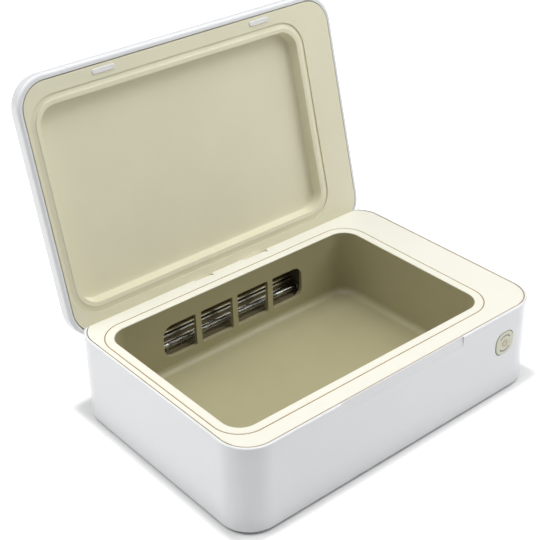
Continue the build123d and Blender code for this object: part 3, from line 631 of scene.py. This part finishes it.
def add_coil_winding(tree):
    """The flat two-layer winding of the charging coil."""
    low, high = corners("charging_coil")
    centre = (low + high) / 2
    wire = (high.z - low.z) / 4
    outer = (high.x - low.x) / 2 - wire
    inner = COIL_HOLE + wire
    turns = float(round((outer - inner) / (2 * wire)))
    layers = []
    for height in (low.z + wire, high.z - wire):
        place = Matrix.Translation((centre.x, centre.y, height))
        layers.append(grown(
            "coil_layer", tree, FINISHES["copper_coil"], place,
            Turns=turns, Steps=COIL_STEPS, Start_Radius=inner, End_Radius=outer, Climb=0.0,
            Wire_Radius=wire * COIL_WIRE_SHARE,
        ))
    winding = joined_piece("coil_winding", layers, FINISHES["copper_coil"], "base")
    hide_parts("charging_coil")


def add_chip_legs(tree):
    """The legs along the four sides of the control chip."""
    low, high = corners("control_chip")
    centre = (low + high) / 2
    first = (-(LEGS_ON_A_SIDE - 1) / 2 * LEG_PITCH, (high.y - low.y) / 2 + LEG_REACH / 2, 0.0)
    legs = []
    for quarter in range(4):
        row = grown(
            "chip_legs", tree, FINISHES["inlet_steel"], Matrix.Identity(4),
            Bars=LEGS_ON_A_SIDE, First=first, Step=(LEG_PITCH, 0.0, 0.0),
            Bar=(LEG_WIDTH, LEG_REACH, LEG_THICKNESS),
        )
        row.transform(Matrix.Rotation(radians(90 * quarter), 4, "Z"))
        row.transform(Matrix.Translation((centre.x, centre.y, low.z + LEG_THICKNESS)))
        legs.append(row)
    joined_piece("chip_legs", legs, FINISHES["inlet_steel"], "base")


def add_inlet_contacts(tree):
    """The gilt contacts on the tongue of the charging inlet."""
    low, high = corners("charging_inlet")
    centre = (low + high) / 2
    first = (-(CONTACTS_ON_A_SIDE - 1) / 2 * CONTACT_PITCH, 0.0, 0.0)
    faces = []
    for side in (-1, 1):
        middle = (centre.x, high.y - CONTACT_SET_BACK, centre.z + side * TONGUE_HALF)
        faces.append(grown(
            "inlet_contacts", tree, FINISHES["gilt"], Matrix.Translation(middle),
            Bars=CONTACTS_ON_A_SIDE, First=first, Step=(CONTACT_PITCH, 0.0, 0.0),
            Bar=(CONTACT_WIDTH, CONTACT_LENGTH, CONTACT_THICKNESS),
        ))
    joined_piece("inlet_contacts", faces, FINISHES["gilt"], "base")


def flat_solid(outline, low, high):
    """A thin solid between two heights from one closed outline."""
    shape = bmesh.new()
    bottom = [shape.verts.new((x, y, low)) for x, y in outline]
    top = [shape.verts.new((x, y, high)) for x, y in outline]
    shape.faces.new(list(reversed(bottom)))
    shape.faces.new(top)
    for index in range(len(outline)):
        after = (index + 1) % len(outline)
        shape.faces.new((bottom[index], bottom[after], top[after], top[index]))
    bmesh.ops.recalc_face_normals(shape, faces=shape.faces)
    mesh = bpy.data.meshes.new("flat")
    shape.to_mesh(mesh)
    shape.free()
    return mesh


def circle(radius, steps):
    angles = [radians(360 * step / steps) for step in range(steps)]
    return [(radius * cos(angle), radius * sin(angle)) for angle in angles]


def ring_part(inner, outer, start, end, steps):
    """The outline of a part of a flat ring, between two angles in degrees."""
    angles = [radians(start + (end - start) * step / steps) for step in range(steps + 1)]
    out = [(outer * cos(angle), outer * sin(angle)) for angle in angles]
    back = [(inner * cos(angle), inner * sin(angle)) for angle in reversed(angles)]
    return out + back


def merged_copy(node, name):
    """A solid's mesh with its loose triangles joined up."""
    shape = bmesh.new()
    shape.from_mesh(nodes[node].data)
    bmesh.ops.remove_doubles(shape, verts=shape.verts, dist=SAME_POINT)
    mesh = bpy.data.meshes.new(name)
    shape.to_mesh(mesh)
    shape.free()
    return mesh


def add_button_face():
    """The button with a shallow dish in its face, and the power mark raised in the dish."""
    low, high = corners("power_button")
    centre = Vector(((low.x + high.x) / 2, low.y, (low.z + high.z) / 2))
    place = Matrix.Translation(centre) @ FRONTWARD
    dish = flat_solid(circle(DISH_RADIUS, DISH_STEPS), -DISH_DEPTH, DISH_CUTTER_TOP)
    dish.transform(place)
    cutter = bpy.data.objects.new("dish_cutter", dish)
    bpy.context.scene.collection.objects.link(cutter)
    button = bpy.data.objects.new("button_cap", merged_copy("power_button", "button_cap"))
    bpy.context.scene.collection.objects.link(button)
    cut = button.modifiers.new("dish", "BOOLEAN")
    cut.operation = "DIFFERENCE"
    cut.solver = "EXACT"
    cut.object = cutter
    evaluated = button.evaluated_get(bpy.context.evaluated_depsgraph_get())
    mesh = bpy.data.meshes.new_from_object(evaluated)
    bpy.data.objects.remove(button)
    bpy.data.objects.remove(cutter)
    cap = joined_piece("button_cap", [mesh], FINISHES["button_cream"], "button")
    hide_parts("power_button")
    ring_outline = ring_part(MARK_RADIUS - MARK_LINE, MARK_RADIUS, *MARK_OPENING, MARK_STEPS)
    half = MARK_LINE / 2
    foot, tip = MARK_BAR
    bar_outline = [(-half, foot), (half, foot), (half, tip), (-half, tip)]
    ring = flat_solid(ring_outline, -DISH_DEPTH, -MARK_TOP)
    bar = flat_solid(bar_outline, -DISH_DEPTH, -MARK_TOP)
    for mesh in (ring, bar):
        mesh.transform(place)
    joined_piece("power_mark", [ring, bar], FINISHES["mark_brown"], "button")


def rounded_outline(half_x, half_y, radius):
    """A rectangle with round corners, from its right side round by its back, left and front."""
    outline = []
    for quarter, (side_x, side_y) in enumerate(((1, 1), (-1, 1), (-1, -1), (1, -1))):
        for step in range(CORNER_STEPS + 1):
            angle = radians(90 * quarter) + radians(90) * step / CORNER_STEPS
            x = side_x * (half_x - radius) + radius * cos(angle)
            y = side_y * (half_y - radius) + radius * sin(angle)
            outline.append((x, y))
    return outline


def bead(outer, inner, top, bottom, closed=True):
    """A strip of even depth between two outlines, closed on itself or with two end faces."""
    shape = bmesh.new()
    rings = []
    for outline, height in ((outer, top), (inner, top), (inner, bottom), (outer, bottom)):
        rings.append([shape.verts.new((x, y, height)) for x, y in outline])
    count = len(outer)
    for first, second in zip(rings, rings[1:] + rings[:1]):
        for index in range(count if closed else count - 1):
            after = (index + 1) % count
            shape.faces.new((first[index], first[after], second[after], second[index]))
    if not closed:
        for index in (0, count - 1):
            shape.faces.new([ring[index] for ring in rings])
    bmesh.ops.recalc_face_normals(shape, faces=shape.faces)
    mesh = bpy.data.meshes.new("bead")
    shape.to_mesh(mesh)
    shape.free()
    return mesh


def moved(outline, x, y):
    return [(part_x + x, part_y + y) for part_x, part_y in outline]


def add_seam_shade_strips():
    """Brown strips a little under the face, painted shade in the joint and the seam: one round the joint, one
    along the seam's sides and front.
    """
    top = corners("top_frame")[1].z - SHADE_STRIP_SUNK
    bottom = top - SHADE_STRIP_DEPTH
    left, right, front, back = JOINT_MARGINS
    low, high = corners("base_shell")
    half_x = (high.x - low.x - left - right) / 2
    half_y = (high.y - low.y - front - back) / 2
    centre_x = (low.x + left + high.x - right) / 2
    centre_y = (low.y + front + high.y - back) / 2
    outlines = []
    for inset in (JOINT_BEVEL, JOINT_BEVEL + SEAM):
        outline = rounded_outline(half_x - inset, half_y - inset, JOINT_ROUND - inset)
        outlines.append(moved(outline, centre_x, centre_y))
    joined_piece("joint_shade_strip", [bead(*outlines, top, bottom)], FINISHES["seam_shade_brown"], "base")
    outlines = []
    for inset in (RIM, RIM + SEAM):
        outline = rounded_outline(high.x - inset, high.y - inset, SHELL_ROUND - inset)
        front_half = outline[len(outline) // 2:]
        left_end = (low.x + inset, SEAM_END)
        right_end = (high.x - inset, SEAM_END)
        outlines.append([left_end] + front_half + [right_end])
    seam = bead(*outlines, top, bottom, closed=False)
    joined_piece("seam_shade_strip", [seam], FINISHES["seam_shade_brown"], "base")


def add_button_gap_shade():
    """A dark ring that fills the gap round the button, under the face of the shell: painted shade in the gap.
    """
    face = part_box("base_shell")[0][1]
    low, high = corners("power_button")
    centre_x = (low.x + high.x) / 2
    centre_z = (low.z + high.z) / 2
    outlines = []
    for play in (GAP_SHADE_WIDTH, GAP_SHADE_PLAY):
        half = BUTTON_HALF + play
        outlines.append(rounded_outline(half, half, BUTTON_ROUND + play))
    mesh = bead(*outlines, -GAP_SHADE_SUNK, -GAP_SHADE_BACK)
    mesh.transform(Matrix.Translation((centre_x, face, centre_z)) @ FRONTWARD)
    joined_piece("button_gap_shade", [mesh], FINISHES["rubber"], "base")


def add_pieces():
    add_button_gap_shade()
    add_seam_shade_strips()
    wound = wound_wire_tree()
    arcs = arc_of_bars_tree()
    rows = row_of_bars_tree()
    for side in ("rear", "front"):
        for kind, finish, count, low_angle, sweep, bar_width in REFLECTOR_LINES:
            add_reflector_lines(side, arcs, kind, finish, count, low_angle, sweep, bar_width)
        add_filaments(side, wound)
    add_coil_winding(wound)
    add_chip_legs(rows)
    add_inlet_contacts(rows)
    add_button_face()


# Stage: camera, lamps, floor and world

def look_matrix(azimuth, elevation, roll, target, distance):
    """Where a camera or lamp stands that looks at a target from a distance."""
    back = Vector((sin(azimuth) * cos(elevation), -cos(azimuth) * cos(elevation), sin(elevation)))
    right = Vector((cos(azimuth), sin(azimuth), 0.0))
    up = back.cross(right)
    right, up = right * cos(roll) + up * sin(roll), up * cos(roll) - right * sin(roll)
    matrix = Matrix((right, up, back)).transposed().to_4x4()
    matrix.translation = target + back * distance
    return matrix


def add_camera():
    data = bpy.data.cameras.new("camera")
    data.sensor_width = SENSOR
    data.lens = CAMERA_FOCAL / IMAGE_SIDE * SENSOR
    data.clip_start = CLIP_NEAR
    data.clip_end = CLIP_FAR
    camera = bpy.data.objects.new("camera", data)
    bpy.context.scene.collection.objects.link(camera)
    camera.matrix_world = look_matrix(
        radians(CAMERA_AZIMUTH), radians(CAMERA_ELEVATION), radians(CAMERA_ROLL),
        CAMERA_TARGET, CAMERA_DISTANCE,
    )
    bpy.context.scene.camera = camera


def add_lamp(name, azimuth, elevation, distance, size, power):
    data = bpy.data.lights.new(name, "AREA")
    data.shape = "SQUARE"
    data.size = size
    data.energy = power
    lamp = bpy.data.objects.new(name, data)
    bpy.context.scene.collection.objects.link(lamp)
    lamp.matrix_world = look_matrix(radians(azimuth), radians(elevation), 0.0, LAMP_AIM, distance)


def glow_share(tree, place):
    """How much the floor glows: not at all beside the box and more further off, so its near shadow stays."""
    beyond = []
    high = corners("base_shell")[1]
    for axis, half in (("X", high.x), ("Y", high.y)):
        size = add(tree, "ShaderNodeMath", operation="ABSOLUTE")
        past = add(tree, "ShaderNodeMath", operation="SUBTRACT")
        past.inputs[1].default_value = half
        tree.links.new(coordinate(tree, place, axis), size.inputs[0])
        tree.links.new(size.outputs[0], past.inputs[0])
        beyond.append(past.outputs[0])
    furthest = add(tree, "ShaderNodeMath", operation="SMOOTH_MAX")
    furthest.inputs[2].default_value = GLOW_ROUND
    tree.links.new(beyond[0], furthest.inputs[0])
    tree.links.new(beyond[1], furthest.inputs[1])
    glow = add(tree, "ShaderNodeMapRange", interpolation_type="SMOOTHSTEP")
    glow.inputs["From Min"].default_value = GLOW_START
    glow.inputs["From Max"].default_value = GLOW_END
    glow.inputs["To Min"].default_value = GLOW_NEAR
    glow.inputs["To Max"].default_value = GLOW_FAR
    tree.links.new(furthest.outputs[0], glow.inputs["Value"])
    return glow.outputs["Result"]


def add_floor():
    """A pale floor that shows the shadow beside the box and glows white elsewhere. The glow lights nothing."""
    mesh = bpy.data.meshes.new("floor")
    shape = bmesh.new()
    bmesh.ops.create_grid(shape, x_segments=FLOOR_SQUARES, y_segments=FLOOR_SQUARES, size=FLOOR_HALF)
    shape.to_mesh(mesh)
    shape.free()
    floor = bpy.data.objects.new("floor", mesh)
    bpy.context.scene.collection.objects.link(floor)
    material, tree, shader = new_material("floor")
    place = object_coordinates(tree)
    dark, light = FLOOR_GREYS
    greys = [(NOISE_LOW, (dark, dark, dark)), (NOISE_HIGH, (light, light, light))]
    colours = ramp(tree, noise(tree, place, FLOOR_CLOUD_SCALE, 2.0), greys)
    tree.links.new(colours, shader.inputs["Base Color"])
    shader.inputs["Roughness"].default_value = FLOOR_ROUGHNESS
    shader.inputs["Specular IOR Level"].default_value = FLOOR_SPECULAR
    path = add(tree, "ShaderNodeLightPath")
    seen = add(tree, "ShaderNodeMath", operation="MAXIMUM")
    seen_through = add(tree, "ShaderNodeMath", operation="MAXIMUM")
    tree.links.new(path.outputs["Is Camera Ray"], seen.inputs[0])
    tree.links.new(path.outputs["Is Glossy Ray"], seen.inputs[1])
    tree.links.new(seen.outputs[0], seen_through.inputs[0])
    tree.links.new(path.outputs["Is Transmission Ray"], seen_through.inputs[1])
    glow = add(tree, "ShaderNodeEmission")
    tree.links.new(glow_share(tree, place), glow.inputs["Strength"])
    nothing = add(tree, "ShaderNodeEmission", Strength=0.0)
    chosen = add(tree, "ShaderNodeMixShader")
    tree.links.new(seen_through.outputs[0], chosen.inputs["Fac"])
    tree.links.new(nothing.outputs[0], chosen.inputs[1])
    tree.links.new(glow.outputs[0], chosen.inputs[2])
    both = add(tree, "ShaderNodeAddShader")
    tree.links.new(shader.outputs[0], both.inputs[0])
    tree.links.new(chosen.outputs[0], both.inputs[1])
    tree.links.new(both.outputs[0], tree.nodes["Material Output"].inputs["Surface"])
    mesh.materials.append(material)


def set_world():
    """A faint even light on everything, and plain white where the camera sees past the floor."""
    world = bpy.data.worlds.new("studio")
    bpy.context.scene.world = world
    world.use_nodes = True
    tree = world.node_tree
    room = tree.nodes["Background"]
    room.inputs["Color"].default_value = (1.0, 1.0, 1.0, 1.0)
    room.inputs["Strength"].default_value = ROOM_LIGHT
    backdrop = add(tree, "ShaderNodeBackground", Strength=1.0)
    backdrop.inputs["Color"].default_value = (1.0, 1.0, 1.0, 1.0)
    path = add(tree, "ShaderNodeLightPath")
    chosen = add(tree, "ShaderNodeMixShader")
    tree.links.new(path.outputs["Is Camera Ray"], chosen.inputs["Fac"])
    tree.links.new(room.outputs[0], chosen.inputs[1])
    tree.links.new(backdrop.outputs[0], chosen.inputs[2])
    tree.links.new(chosen.outputs[0], tree.nodes["World Output"].inputs["Surface"])


dress_nodes()
add_pieces()
add_camera()
add_floor()
set_world()
for lamp in LAMPS:
    add_lamp(*lamp)
bpy.context.scene.view_settings.view_transform = "Standard"
